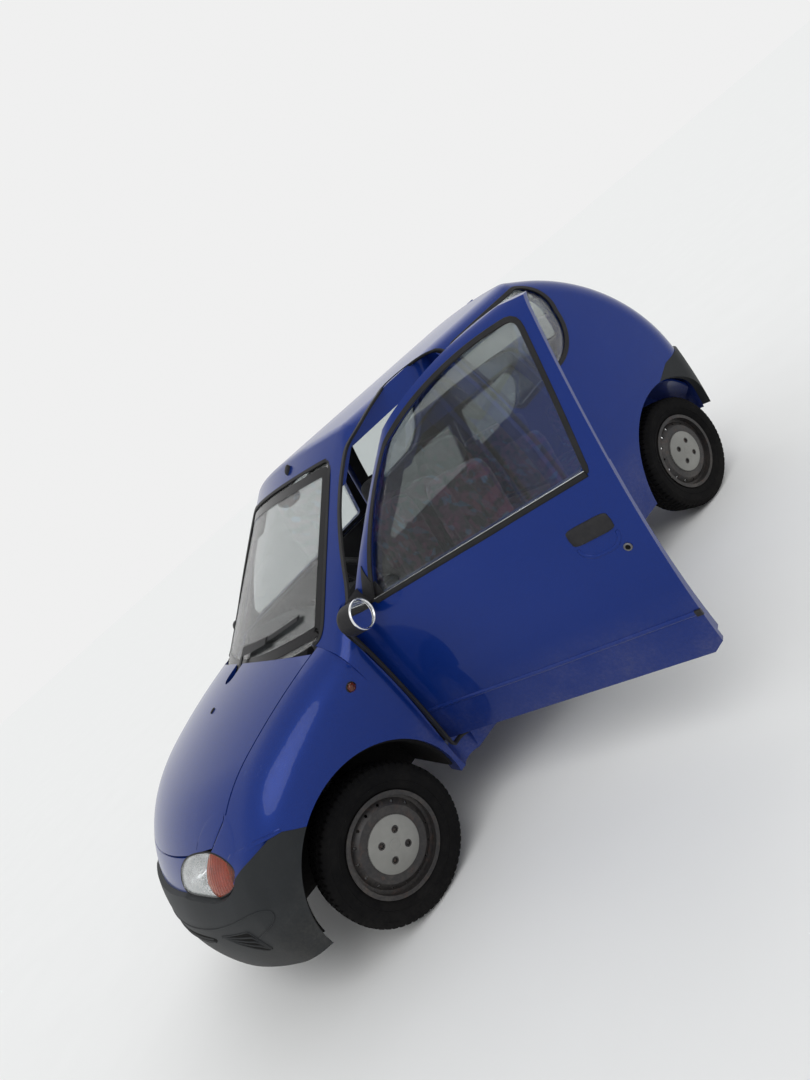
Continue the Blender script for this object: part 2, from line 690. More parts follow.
def steel(name, colour, rough=0.5, rust=0.2, dust=0.5, metallic=0.6):
    """Chassis metal: flat paint or bare steel with rust blooms and road dust."""
    material, t, shader = surface(name, Metallic=metallic)
    bloom = t.times(t.ramp(t.noise(26.0, 6.0, 0.7), 0.55 - rust * 0.3, 0.78), min(1.0, rust * 2))
    tone = t.mix(bloom, colour, (0.16, 0.055, 0.022))
    dusty = use(t, "dust", Low=0.05, High=0.75, Film=0.06, Strength=dust).outputs["Mask"]
    join(t, t.mix(t.times(dusty, 0.6), tone, (0.24, 0.21, 0.18)), shader, "Base Color")
    join(t, t.math("ADD", t.times(bloom, 0.35), rough, clamp=True), shader, "Roughness")
    join(t, t.times(t.math("SUBTRACT", 1.0, bloom), metallic), shader, "Metallic")
    bumped(t, shader, t.noise(160.0, 5.0, 0.7), 0.0006, 0.5)
    return material


def glass(name, tint, alpha, rough=0.0):
    """Window glass: clear body with a faint tint, and a film of dust that dulls it in patches."""
    material, t, shader = surface(
        name, Metallic=0.0, Transmission_Weight=1.0, IOR=1.45, Alpha=alpha, Coat_Weight=0.0
    )
    dusty = use(t, "dust", Low=0.9, High=1.0, Film=0.05, Strength=0.1).outputs["Mask"]
    join(t, t.mix(t.times(dusty, 0.5), tint, DUST), shader, "Base Color")
    join(t, t.math("ADD", t.times(dusty, 0.10), rough), shader, "Roughness")
    return material


def lens(name, colour, flutes, alpha=0.55, inner=None):
    """Coloured or clear lamp lens with moulded flutes; its inner face is black where one is given."""
    material, t, shader = surface(name, Roughness=0.08, Transmission_Weight=0.85, IOR=1.49, Alpha=alpha)
    pale = tuple(min(1.0, c * 1.35 + 0.01) for c in colour)
    tone = t.mix(t.ramp(t.noise(30.0, 4.0), 0.3, 0.8, 0.0, 0.5), colour, pale)
    if inner is not None:
        tone = t.mix(use(t, "inside", Direction=inner).outputs["Mask"], tone, (0.003, 0.003, 0.003))
    join(t, tone, shader, "Base Color")
    wave = t.add("TexWave", {"Vector": t.where(), "Scale": flutes}, bands_direction="Y")
    bumped(t, shader, wave.outputs[1], 0.0006, 0.7)
    return material


def seat_cloth(name, base, second, third, scale):
    """Patterned cloth: cells of three tones in slanting bands over a woven ground."""
    material, t, shader = surface(name, Roughness=0.92, Sheen_Weight=0.4)
    where = t.stretched((1.0, 1.0, 1.6))
    cells = t.add("TexVoronoi", {"Vector": where, "Scale": scale, "Randomness": 0.9})
    pick = t.add("SeparateColor", {0: cells.outputs["Color"]}).outputs[0]
    inputs = {"Vector": where, "Scale": scale * 0.22, "Distortion": 3.0, "Detail": 2.0}
    band = t.add("TexWave", inputs, bands_direction="DIAGONAL")
    cloth = use(t, "weave", Threads=620.0)
    tone = t.mix(t.ramp(pick, 0.45, 0.5), base, second)
    tone = t.mix(t.times(t.ramp(pick, 0.8, 0.83), t.ramp(band.outputs[1], 0.4, 0.6)), tone, third)
    tone = t.mix(t.times(cloth.outputs["Tone"], 0.3), tone, tuple(c * 0.4 for c in base))
    join(t, tone, shader, "Base Color")
    bumped(t, shader, cloth.outputs["Height"], 0.0004, 0.7)
    return material


def plain_cloth(name, colour):
    """Plain woven cloth."""
    material, t, shader = surface(name, Roughness=0.95, Sheen_Weight=0.3)
    cloth = use(t, "weave", Threads=700.0)
    join(t, t.mix(cloth.outputs["Tone"], colour, tuple(c * 0.55 for c in colour)), shader, "Base Color")
    bumped(t, shader, cloth.outputs["Height"], 0.0004, 0.8)
    return material


OPEN_DOOR_INNER = tuple(turn(np.array([0.0, -1.0, 0.0]), -DOOR_OPEN))
MATERIAL = {
    "paint": paint("body_paint"),
    "paint_left": paint("body_paint_left", inner=(0, -1, 0)),
    "paint_right": paint("body_paint_right", inner=(0, 1, 0)),
    "paint_roof": paint("body_paint_roof", inner=(0, 0, -1), dust=0.0),
    "paint_floor": paint("floor_paint", inner=(0, 0, 1), dust=0.9, high=0.5),
    "paint_door_left": paint("door_paint_left", inner=OPEN_DOOR_INNER),
    "paint_door_right": paint("door_paint_right", inner=(0, 1, 0)),
    "bumper": plastic("bumper_plastic", PLASTIC_GREY, dust=0.22, film=0.012),
    "trim": plastic("black_trim", (0.016, 0.016, 0.018), 1400.0, 0.00012, 0.5, 0.2),
    "dash": plastic("dash_plastic", (0.030, 0.031, 0.034), 1100.0, 0.0002, 0.62, 0.0, film=0.03),
    "rubber": rubber("seal_rubber"),
    "tyre": tyre_rubber(),
    "rim": steel("rim_steel", (0.016, 0.016, 0.018), 0.45, 0.12, 0.35, 0.3),
    "chassis": steel("chassis_black", (0.012, 0.012, 0.013), 0.65, 0.30, 0.45, 0.3),
    "liner": plastic("arch_liner", (0.004, 0.004, 0.0045), 500.0, 0.0004, 0.85, 0.10, film=0.01),
    "engine": steel("engine_metal", (0.16, 0.16, 0.165), 0.55, 0.2, 0.5, 0.8),
    "exhaust": steel("exhaust_steel", (0.18, 0.16, 0.14), 0.55, 0.75, 0.4, 0.8),
    "cap": plastic("cap_plastic", (0.19, 0.19, 0.178), 1500.0, 0.00008, 0.42, 0.25, high=0.3, film=0.06),
    "chrome": bright("chrome", (0.80, 0.81, 0.82), 0.08),
    "mirror": bright("mirror_glass", (0.86, 0.88, 0.88), 0.01, spots=0.03),
    "bowl": bright("lamp_bowl", (0.50, 0.52, 0.52), 0.10, spots=0.2),
    "glass": glass("window_glass", (0.30, 0.36, 0.36), 0.55),
    "screen": glass("screen_glass", (0.52, 0.58, 0.57), 0.45),
    "clear_lens": lens("clear_lens", (0.80, 0.83, 0.83), 14.0, 0.35),
    "amber": lens("amber_lens", (0.50, 0.075, 0.004), 24.0, 0.92),
    "red": lens("red_lens", (0.40, 0.008, 0.010), 24.0, 1.0, inner=(1, 0, 0)),
    "seat": seat_cloth("seat_cloth", (0.030, 0.024, 0.050), (0.20, 0.055, 0.14), (0.10, 0.22, 0.42), 22.0),
    "side_cloth": plain_cloth("seat_side_cloth", (0.045, 0.042, 0.055)),
    "lining": plain_cloth("roof_lining", (0.30, 0.29, 0.27)),
    "marks": plastic("dial_marks", (0.62, 0.62, 0.60), 1600.0, 0.00006, 0.35, 0.15),
    "dial": plastic("dial_face", (0.02, 0.02, 0.022), 1600.0, 0.00004, 0.25, 0.0, film=0.01),
    "void": plastic("slot_shade", (0.002, 0.002, 0.002), 700.0, 0.0003, 0.9, 0.05, film=0.01),
    "border": plastic("screen_print", (0.004, 0.004, 0.005), 2000.0, 0.00002, 0.22, 0.0, film=0.02),
    "belt": plain_cloth("seat_belt_webbing", (0.018, 0.018, 0.020)),
    "amber_bowl": bright("amber_bowl", (0.65, 0.22, 0.04), 0.25, spots=0.1),
}
NODE_MATERIALS = {
    "paint": "front_wings nose_panel bonnet rear_panel tailgate",
    "paint_left": "side_panel_left",
    "paint_right": "side_panel_right",
    "paint_roof": "roof_panel",
    "paint_floor": "floor_pan",
    "paint_door_left": "door_left",
    "paint_door_right": "door_right",
    "bumper": "front_bumper rear_bumper",
    "dash": "dashboard door_trim_left door_trim_right",
    "trim": "steering_wheel windscreen_wiper inside_mirror door_mirror_left door_mirror_right",
    "glass": "door_glass_left door_glass_right quarter_glasses tailgate_glass",
    "screen": "windscreen",
    "tyre": "tyre_front_left tyre_front_right tyre_rear_left tyre_rear_right",
    "rim": "wheel_front_left wheel_front_right wheel_rear_left wheel_rear_right",
    "chassis": "front_axle rear_axle knuckle_left knuckle_right fuel_tank",
    "liner": "wheel_arches bulkhead",
    "engine": "engine_block",
    "exhaust": "exhaust",
    "clear_lens": "headlamps",
    "red": "tail_lamps",
    "seat": "front_seats rear_bench",
}


def dress_nodes():
    """Give each CAD node its material, and smooth its shading by welding and splitting edges live."""
    for key, names in NODE_MATERIALS.items():
        for name in names.split():
            node = frame["nodes"][name]
            node.data.materials.clear()
            node.data.materials.append(MATERIAL[key])
            node.data.polygons.foreach_set("use_smooth", np.ones(len(node.data.polygons), bool))
            node.modifiers.new("weld", "WELD").merge_threshold = WELD
            node.modifiers.new("split", "EDGE_SPLIT").split_angle = math.radians(SPLIT)


# Wheels
def tyre(wheel):
    """Tyre as one turned section; the tread is cut by grooves round it and slanting sipes across it.

    The tread falls off by the fourth power of the share of the way to its edge.
    """
    wall = [
        (RIM_RADIUS + 0.001, 0.050), (RIM_LIP + 0.002, 0.056), (0.186, 0.064), (0.196, 0.0690),
        (0.203, 0.0715), (0.2045, 0.0735), (0.2065, 0.0735), (0.208, 0.0722), (0.222, 0.0745),
        (0.236, 0.0738), (0.2375, 0.0748), (0.2395, 0.0745), (0.248, 0.0708), (0.256, 0.0650),
        (0.2615, 0.0590),
    ]
    across = np.linspace(TREAD_EDGE, -TREAD_EDGE, 43)
    tread = [(TYRE_RADIUS - TREAD_FALL * (y / TREAD_EDGE) ** 4, y) for y in across]
    section = wall + tread + [(r, -y) for r, y in reversed(wall)]

    def ripple(angle, radius, y):
        on_tread = radius > TREAD_START
        shoulder = (np.abs(y) > SHOULDER_START) & on_tread
        groove = sum(np.exp(-(((y - g) / GROOVE_HALF) ** 4)) for g in TREAD_GROOVES)
        wave = np.sin(angle * 72 + y * 160 * np.sign(y)) > 0.74
        sipe = np.sin(angle * 66) > 0.72
        cut = np.maximum(groove, np.where(shoulder, sipe, wave) * 0.9) * on_tread
        nick = (np.abs(y) > 0.0585) & (radius > 0.247) & sipe
        return radius - TREAD_DEPTH * cut - NICK_DEPTH * nick, y

    out = 1 if wheel.endswith("left") else -1
    shape = lathe(section, TYRE_STEPS, HUBS[wheel], out, ripple)
    piece = make(f"tyre_cover_{wheel}", shape, "tyre", f"wheel_{wheel}", sharp=28)
    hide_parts(f"tyre_{wheel}")


def wheel_cap(wheel):
    """Pale centre cap: a dome that falls by the cube of its radius, four dished bolt holes, a round boss."""
    out = 1 if wheel.endswith("left") else -1
    centre = HUBS[wheel] + np.array([0, out * 0.035, 0])
    radius = np.concatenate([[AXLE], np.linspace(0.002, CAP_RADIUS - 0.002, 52), [CAP_RADIUS, CAP_RADIUS]])
    height = CAP_FACE + CAP_EDGE - CAP_FALL * (radius / CAP_RADIUS) ** 3
    height[-2] -= CAP_EDGE
    height[-1] -= 0.012
    angles = math.pi * (0.25 + 0.5 * np.arange(BOLTS))
    bolts = [BOLT_CIRCLE * np.array([math.cos(a), math.sin(a)]) for a in angles]

    def ripple(angle, r, y):
        x, z = r * np.cos(angle), r * np.sin(angle)
        for bolt in bolts:
            y = y - HOLE_DEPTH / (1 + np.exp((np.hypot(x - bolt[0], z - bolt[1]) - HOLE_RADIUS) / 0.0006))
        return r, y - 0.0012 * np.exp(-(((r - BOSS_RADIUS) / 0.0014) ** 2))

    shape = lathe(np.stack([radius, height], 1), 144, centre, out, ripple)
    make(f"wheel_cap_{wheel}", shape, "cap", f"wheel_{wheel}", sharp=40)
    for k, bolt in enumerate(bolts):
        head = [(AXLE, 0.006), (0.0060, 0.006), (0.0078, 0.0045), (0.0080, 0.0)]
        shape = lathe(head, 6, centre + np.array([bolt[0], out * 0.021, bolt[1]]), out)
        make(f"wheel_bolt_{wheel}_{k}", shape, "chassis", f"wheel_{wheel}", sharp=20)


# Door dressing
def door_dressing(side, sign):
    """Window rubber, waist seal with its bright edge, lower moulding with its end clip, and lock."""
    body = f"door_{side}"
    edge = window_edge()
    grown = edge + unit(edge - edge.mean(0)) * 0.009
    waist = evenly([(-0.300, 0.9335), (0.548, 0.9195)], 60)
    crease = evenly([(-0.322, 0.447), (0.20, 0.462), (0.700, 0.484)], 90)
    clip = evenly([(-0.324, 0.4465), (-0.306, 0.4470)], 6)
    for name, xz, profile, material, closed, slot in (
        ("window_rubber", grown, flat_band(0.017, 0.0022), "rubber", True, "black_trim"),
        ("waist_seal", waist, half_round(0.020, 0.0055), "rubber", False, "black_trim"),
        ("waist_bright", waist + (0, 0.0085), half_round(0.0035, 0.0075), "chrome", False, "black_trim"),
        ("side_moulding", crease, half_round(0.016, 0.0045), f"paint_door_{side}", False, "body_paint"),
        ("moulding_clip", clip, flat_band(0.020, 0.006), "trim", False, "black_trim"),
    ):
        line = on_side(xz, ["door_right"], closed)
        make(f"{name}_{side}", strip(line, profile, closed), material, body, sign)
    place = mirrored(on_side([LOCK_AT], ["door_right"], False)[0], sign)[0]
    ring = [(AXLE, 0.0020), (0.0070, 0.0020), (0.0078, 0.0042), (0.0100, 0.0044), (0.0120, 0.0026)]
    ring.append((0.0124, -0.003))
    core = [(AXLE, 0.0030), (0.0060, 0.0030), (0.0068, 0.0022), (0.0070, 0.0)]
    make(f"door_lock_{side}", lathe(ring, 40, place, sign), "engine", body)
    make(f"door_lock_core_{side}", lathe(core, 32, place, sign), "void", body)


def door_handle(side, sign):
    """Black flap handle: a slab with rounded ends that leans with the door.

    Its crown is 6.5 mm, times 1 less the sixth power of the share along, times the same for the share up.
    """
    a, b = np.meshgrid(np.linspace(-1, 1, 61), np.linspace(-1, 1, 25), indexing="ij")
    x = HANDLE_AT[0] + HANDLE_HALF[0] * a
    z = HANDLE_AT[1] + HANDLE_HALF[1] * b * np.clip(1 - np.abs(a) ** 5, 0, 1) ** (1 / 5)
    skin = on_side([HANDLE_AT], ["door_right"], False)[0][0][1]
    lean = -(z - HANDLE_AT[1]) * HANDLE_LEAN
    crown = skin + 0.0015 + HANDLE_CROWN * (1 - np.abs(a) ** 6) * (1 - np.abs(b) ** 6) + lean
    shape = slab(np.stack([x, crown, z], 2), np.stack([x, skin - 0.004 + lean, z], 2))
    make(f"door_handle_{side}", shape, "trim", f"door_{side}", sign, 40)


def door_mirror(side, sign):
    """Chrome rim and mirror glass on the back of the mirror shell."""
    body = f"door_{side}"
    t = np.linspace(0, 2 * math.pi, 96, endpoint=False)
    rim = np.array(MIRROR_AT) + np.stack([0 * t, MIRROR_RIM[0] * np.cos(t), MIRROR_RIM[1] * np.sin(t)], 1)
    shape = strip((rim, (-1, 0, 0)), half_round(0.007, 0.004), True)
    make(f"mirror_rim_{side}", shape, "chrome", body, sign=sign)
    shape = placed(disc(12, 96, MIRROR_GLASS, lambda r: 0.0045 + 0.0015 * (1 - r**2)), MIRROR_AT)
    make(f"mirror_glass_{side}", shape, "mirror", body, sign=sign)


def handle_scoop(side, sign):
    """Soft lip of the hand hollow under the door handle."""
    t = np.linspace(0.02 * math.pi, 0.98 * math.pi, 60)
    x = HANDLE_AT[0] + 0.062 * np.sign(np.cos(t)) * np.abs(np.cos(t)) ** 0.7
    line = on_side(np.stack([x, 0.770 - 0.046 * np.sin(t) ** 0.8], 1), ["door_right"], False)
    shape = strip(line, half_round(0.011, 0.0022), False)
    make(f"handle_scoop_{side}", shape, f"paint_door_{side}", f"door_{side}", sign, 60)


def mirror_sail(side, sign):
    """Black triangle that carries the door mirror at the front lower corner of the window."""
    top, rear, front = np.array([0.528, 1.040]), np.array([0.512, 0.921]), np.array([0.606, 0.921])
    share = np.linspace(0, 1, 26)
    base = rear + (front - rear) * share[:, None]
    rise = share[None, :, None] * 0.985
    grid = base[:, None] * (1 - rise) + top * rise
    start = np.stack([grid[..., 0], -np.ones(grid.shape[:2]), grid[..., 1]], 2)
    laid = cast(start, ["door_right", "door_glass_right"], (0, 1, 0))
    points, normals = ((part * FLIP).reshape(start.shape) for part in laid)
    shape = slab(points + (0, 0.0035, 0), points - normals * 0.002)
    make(f"mirror_sail_{side}", shape, "trim", f"door_{side}", sign)


# Front corners
def lamp_span(y):
    """Lowest and highest z of the solid left headlamp's tilted ellipse at y."""
    (a, b), c, s = LAMP_HALF, math.cos(LAMP_TILT), math.sin(LAMP_TILT)
    p, q, r = c * c / a**2 + s * s / b**2, c * s * (1 / a**2 - 1 / b**2), s * s / a**2 + c * c / b**2
    d = y - LAMP_Y
    root = np.sqrt(np.maximum(q * q * d * d - r * (p * d * d - 1), 0))
    return LAMP_Z + (-q * d - root) / r, LAMP_Z + (-q * d + root) / r


class FrontSkin:
    """Nose skin: x as a polynomial in y and z, fitted to the panels and to the bumper less its stand."""

    def __init__(self):
        y, z = np.meshgrid(np.linspace(0.20, 0.66, 26), np.linspace(0.50, 0.75, 20), indexing="ij")
        start = np.stack([np.ones(y.size), y.ravel(), z.ravel()], 1)
        skin, _ = meet(start, ["headlamps", "nose_panel", "bonnet", "front_wings"], (-1, 0, 0))
        proud, out = meet(start, ["front_bumper"], (-1, 0, 0))
        points = np.vstack([skin, proud - out * BUMPER_STAND])
        points = points[points[:, 0] > 1.30]
        self.weights = np.linalg.lstsq(self.terms(points[:, 1], points[:, 2]), points[:, 0], rcond=None)[0]

    def terms(self, y, z):
        """Products of the powers of y and z up to the fourth and third."""
        u, v = (y - 0.43) / 0.23, (z - 0.62) / 0.13
        return np.stack([u**i * v**j for i in range(5) for j in range(4)], -1)

    def place(self, y, z, lift=0.0):
        """Points over (y, z), lifted along the skin's normal, and the normals."""
        x = self.terms(y, z) @ self.weights
        step = 0.001
        slope_y = (self.terms(y + step, z) @ self.weights - x) / step
        slope_z = (self.terms(y, z + step) @ self.weights - x) / step
        normal = unit(np.stack([np.ones_like(x), -slope_y, -slope_z], -1))
        return np.stack([x, y, z], -1) + normal * np.asarray(lift)[..., None], normal


def domed(line, centre, skin, lift, thick, steps=16):
    """Closed shell inside a front-view line: from its centre out over the front and back in behind.

    lift gives the height over the skin from the share s of the way out and from (y, z).
    """
    line, centre = np.asarray(line, float), np.asarray(centre, float)
    share = np.linspace(0, 1, steps) ** 0.8
    rows = []
    for depth, order in ((0, share), (thick, share[::-1])):
        grid = centre + order[:, None, None] * (line - centre)[None]
        y, z = grid[..., 0], grid[..., 1]
        s = np.broadcast_to(order[:, None], y.shape)
        rows.append(skin.place(y, z, lift(s, y, z) - depth)[0])
    points = np.vstack(rows)
    return points.reshape(-1, 3), grid_faces(len(points), len(line), False, True)


def cutter(name, line, near=1.20, far=1.80):
    """Hidden prism of a front-view line, on both sides, for the live cuts in the panels."""
    line = np.asarray(line, float)
    count = len(line)
    ring = np.arange(count)
    after = (ring + 1) % count
    points, faces = [], []
    for base, sign in zip((0, 2 * count), SIDES.values()):
        points += [np.stack([np.full(count, x), line[:, 0] * sign, line[:, 1]], 1) for x in (near, far)]
        faces += np.stack([base + ring, base + after, base + after + count, base + ring + count], 1).tolist()
        faces += [(base + ring).tolist(), (base + count + ring).tolist()]
    piece = make(name, (np.vstack(points), faces), "void")
    piece.hide_render = piece.hide_viewport = True
    return piece


def cut(node, tool):
    """Live Boolean that takes the tool's shape off a node, before its edges are split for shading."""
    holder = frame["nodes"][node]
    change = holder.modifiers.new("cut", "BOOLEAN")
    change.operation, change.solver, change.object = "DIFFERENCE", "EXACT", tool
    holder.modifiers.move(len(holder.modifiers) - 1, len(holder.modifiers) - 2)


def lamp_outline():
    """Closed line of the lamp, evenly spaced and softened."""
    return softened(evenly(softened(evenly(LAMP_LINE, 64, True), True, 3), 120, True), True, 2)


def headlamp(side, sign, skin):
    """Clear and amber lens shells over bright bowls, a gasket and a bulb, in the lamp's outline.

    A lens stands 1.5 mm proud, plus 5.5 mm times 1 less the fourth power of the share of the way out. A bowl
    lies 3 mm under the skin, plus 10 mm and a round pit, both times 1 less the eighth power of that share.
    """
    line = lamp_outline()
    split = evenly(LAMP_SPLIT, 24)
    boundary = np.interp(line[:, 1], *np.array(sorted((z, y) for y, z in LAMP_SPLIT)).T)
    inner = line[:, 0] < boundary
    start = int(np.flatnonzero(inner & ~np.roll(inner, 1))[0])
    line, inner = np.roll(line, -start, 0), np.roll(inner, -start)
    parts = (
        ("clear", line[inner], 100, (0.365, 0.612), "clear_lens", "bowl"),
        ("amber", line[~inner], 90, (0.527, 0.600), "amber", "amber_bowl"),
    )
    pits = (BULB_AT, (0.046, 0.036), 0.034), ((0.530, 0.604), (0.030, 0.030), 0.014)
    for (part, arch, steps, centre, lens_key, bowl_key), (pit, size, deep) in zip(parts, pits):
        closing = split[1:-1] if arch[-1, 1] > arch[0, 1] else split[::-1][1:-1]
        edge = evenly(np.vstack([arch, closing]), steps, True)

        def crown(s, y, z):
            return LENS_PROUD + LENS_CROWN * (1 - s**4)

        def hollow(s, y, z, pit=pit, size=size, deep=deep):
            dip = np.exp(-(np.hypot((y - pit[0]) / size[0], (z - pit[1]) / size[1]) ** 4))
            return -BOWL_SINK - BOWL_DEPTH * (1 - s**8) - deep * dip * (1 - s**8)

        shape = domed(edge, centre, skin, crown, LENS_THICK)
        piece = make(f"headlamp_{part}_{side}", shape, lens_key, SHELL, sign, 60)
        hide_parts("headlamps")
        shape = domed(edge, centre, skin, hollow, BOWL_THICK, 26)
        make(f"lamp_bowl_{part}_{side}", shape, bowl_key, sign=sign, sharp=60)
    shape = strip(skin.place(line[:, 0], line[:, 1]), flat_band(0.0060, 0.0022, 0.014), True)
    make(f"lamp_gasket_{side}", shape, "rubber", sign=sign)
    bulb = [(AXLE, 0.030), (0.004, 0.029), (0.0055, 0.025), (0.0055, 0.0), (0.009, -0.002), (0.009, -0.010)]
    place = skin.place(*np.array(BULB_AT), -0.046)[0]
    make(f"lamp_bulb_{side}", placed(swung(lathe(bulb, 28), 2, 1, 3), place), "chrome", sign=sign)


def corner_skin(side, sign, skin):
    """Painted pieces that carry the bonnet and the wing down to the lamp and to the bumper's edge."""

    def patch(name, y, low, high, body):
        grid = between(y, low, high, 16)
        rim = np.minimum(np.linspace(0, 1, 16), np.linspace(1, 0, 16))[None, :] * 8
        lift = 0.0002 + 0.0006 * np.clip(np.broadcast_to(rim, grid.shape[:2]), 0, 1)
        front, back = (skin.place(grid[..., 1], grid[..., 2], part)[0] for part in (lift, lift - 0.0025))
        make(f"{name}_{side}", slab(front, back), "paint", body, sign, 60)

    y = np.linspace(LAMP_Y - OLD_REACH, 0.5475, 60)
    low = np.interp(y, (0.497, 0.5475), (0.6745, 0.7235))
    patch("bonnet_corner", y, low, np.maximum(lamp_span(y)[1] + 0.010, 0.682), "bonnet")
    upper = np.array(LAMP_LINE)[5:9]
    y = np.linspace(0.492, 0.628, 70)
    low = np.where(y < 0.603, np.interp(y, upper[:, 0], upper[:, 1]), 0.594 - (y - 0.603) * 0.2)
    inner = np.interp(y, (0.492, 0.502, 0.5510), (0.6685, 0.6745, 0.7210))
    outer = softened(np.where(y < 0.612, lamp_span(np.minimum(y, 0.612))[1] + 0.010, 0.670), False, 3)
    patch("wing_corner", y, low, np.where(y < 0.5510, inner, outer), SHELL)
    wing_foot(side, sign)


def wing_foot(side, sign):
    """Painted piece where the bumper stood.

    Its distance from an upright axis is a polynomial in angle and height, fitted to the wing and, where the
    wing is cut away or lies deeper, to the bumper less its stand.
    """
    degree = np.linspace(26, 76, 46)
    low = np.interp(degree, (26, 31, 45, 57, 66, 76), (0.566, 0.588, 0.606, 0.616, 0.622, 0.622)) - 0.012
    high = np.interp(degree, (26, 33, 59, 76), (0.634, 0.646, 0.646, 0.630))
    share = np.linspace(0, 1, 14)
    z = low[:, None] + (high - low)[:, None] * share
    way = np.stack([np.cos(np.radians(degree)), np.sin(np.radians(degree))], 1)
    flat = np.repeat(way, len(share), 0)
    start = np.column_stack([WING_CENTRE + flat, z.ravel()])
    ways = -np.column_stack([flat, 0 * z.ravel()])
    wing, _ = meet(start, ["front_wings", "headlamps"], ways)
    proud, out = meet(start, ["front_bumper"], ways)
    behind = proud - out * BUMPER_STAND
    far_wing = np.linalg.norm(wing[:, :2] - WING_CENTRE, axis=1)
    far_behind = np.linalg.norm(behind[:, :2] - WING_CENTRE, axis=1)
    far = np.where(np.isnan(far_wing) | (far_wing < far_behind - 0.006), far_behind, far_wing)
    u, v = (np.repeat(degree, len(share)) - 51) / 25, (z.ravel() - 0.61) / 0.04
    terms = np.stack([u**i * v**j for i in range(7) for j in range(3)], -1)
    known = ~np.isnan(far)
    fitted = terms @ np.linalg.lstsq(terms[known], far[known], rcond=None)[0]
    rim = np.clip(np.minimum(share, 1 - share) * 6, 0, 1)
    lift = 0.0003 + 0.0009 * np.broadcast_to(rim, z.shape).ravel()
    front, back = (
        np.column_stack([WING_CENTRE + flat * (fitted + part)[:, None], z.ravel()]).reshape(*z.shape, 3)
        for part in (lift, -0.003)
    )
    make(f"wing_foot_{side}", slab(front, back), "paint", SHELL, sign, 60)


def front_corners():
    """New lamps with their openings cut in the nose, wings and bumper, and the skin that meets them."""
    skin = FrontSkin()
    line = lamp_outline()
    middle = line.mean(0)
    lamp_tool = cutter("lamp_cutter", middle + (line - middle) * 1.004 + unit(line - middle) * 0.001)
    hump = np.vstack([BUMPER_EDGE, [(0.775, 0.660), (0.775, 0.700), (0.415, 0.700)]])
    hump_tool = cutter("bumper_cutter", hump)
    for node in ("nose_panel", "front_wings", "front_bumper"):
        cut(node, lamp_tool)
    cut("front_bumper", hump_tool)
    for side, sign in SIDES.items():
        headlamp(side, sign, skin)
        corner_skin(side, sign, skin)


# Body dressing
def bumper_mouldings():
    """Raised oval line round the front bumper, and the dark slots with their slats and lips."""
    node = ["front_bumper"]
    loop = np.array([
        (0.0, 0.452), (0.30, 0.453), (0.42, 0.456), (0.532, 0.467), (0.632, 0.482), (0.676, 0.480),
        (0.697, 0.465), (0.700, 0.447), (0.688, 0.429), (0.654, 0.415), (0.615, 0.404), (0.597, 0.395),
    ])
    left = evenly(softened(evenly(loop, 60), False, 3), 110)
    whole = np.vstack([(left * (-1, 1))[::-1], left[1:]])
    shape = strip(on_front(whole, node), half_round(0.0045, 0.0030), False)
    make("bumper_moulding", shape, "bumper", SHELL)

    top = np.array([(0.412, 0.4245), (0.571, 0.4285), (0.585, 0.405), (0.604, 0.346)])
    foot = np.array([(0.412, 0.4225), (0.449, 0.408), (0.534, 0.358), (0.586, 0.335), (0.604, 0.341)])
    across = np.linspace(0.412, 0.604, 60)
    high, low = np.interp(across, *top.T), np.interp(across, *foot.T)
    outline = np.vstack([np.stack([across, high], 1), np.stack([across, low], 1)[::-1][1:-1]])

    def slots(side, sign):
        shape = laid_slab(between(across, low, high), node, (-1, 0, 0), 0.0006, 0.003)
        make(f"bumper_slot_{side}", shape, "void", sign=sign)
        line = on_front(softened(evenly(outline, 120, True), True, 2), node, True)
        shape = strip(line, half_round(0.0045, 0.0032), True)
        make(f"bumper_slot_lip_{side}", shape, "bumper", SHELL, sign)
        for k, share in enumerate((0.26, 0.50, 0.74)):
            line = on_front(np.stack([across, low + (high - low) * share], 1)[4:-1], node)
            shape = strip(line, half_round(0.0055, 0.0042), False)
            make(f"bumper_slat_{side}_{k}", shape, "bumper", SHELL, sign)

    both(slots)
    span = np.linspace(-0.362, 0.362, 90)
    rounding = 0.018 * (np.abs(span) / 0.362) ** 8
    grid = between(span, 0.386 + rounding, 0.4235 - rounding * 0.6)
    make("bumper_intake", laid_slab(grid, node, (-1, 0, 0), 0.0006, 0.003), "void")
    for k, height in enumerate((0.3985, 0.4110)):
        line = on_front(np.stack([span[2:-2], np.full(86, height)], 1), node)
        shape = strip(line, half_round(0.005, 0.004), False)
        make(f"intake_slat_{k}", shape, "bumper", SHELL)


def screen_line(corners, top, counts, steps):
    """Closed line of a screen in front view: its top line, then its two sides and its foot, softened."""
    parts = [top]
    for k, count in enumerate(counts):
        a, b = corners[k + 2], corners[(k + 3) % len(corners)]
        parts.append(evenly([a, b], count)[1:])
    parts[-1] = parts[-1][:-1]
    return softened(evenly(np.vstack(parts), steps, True), True, 14)


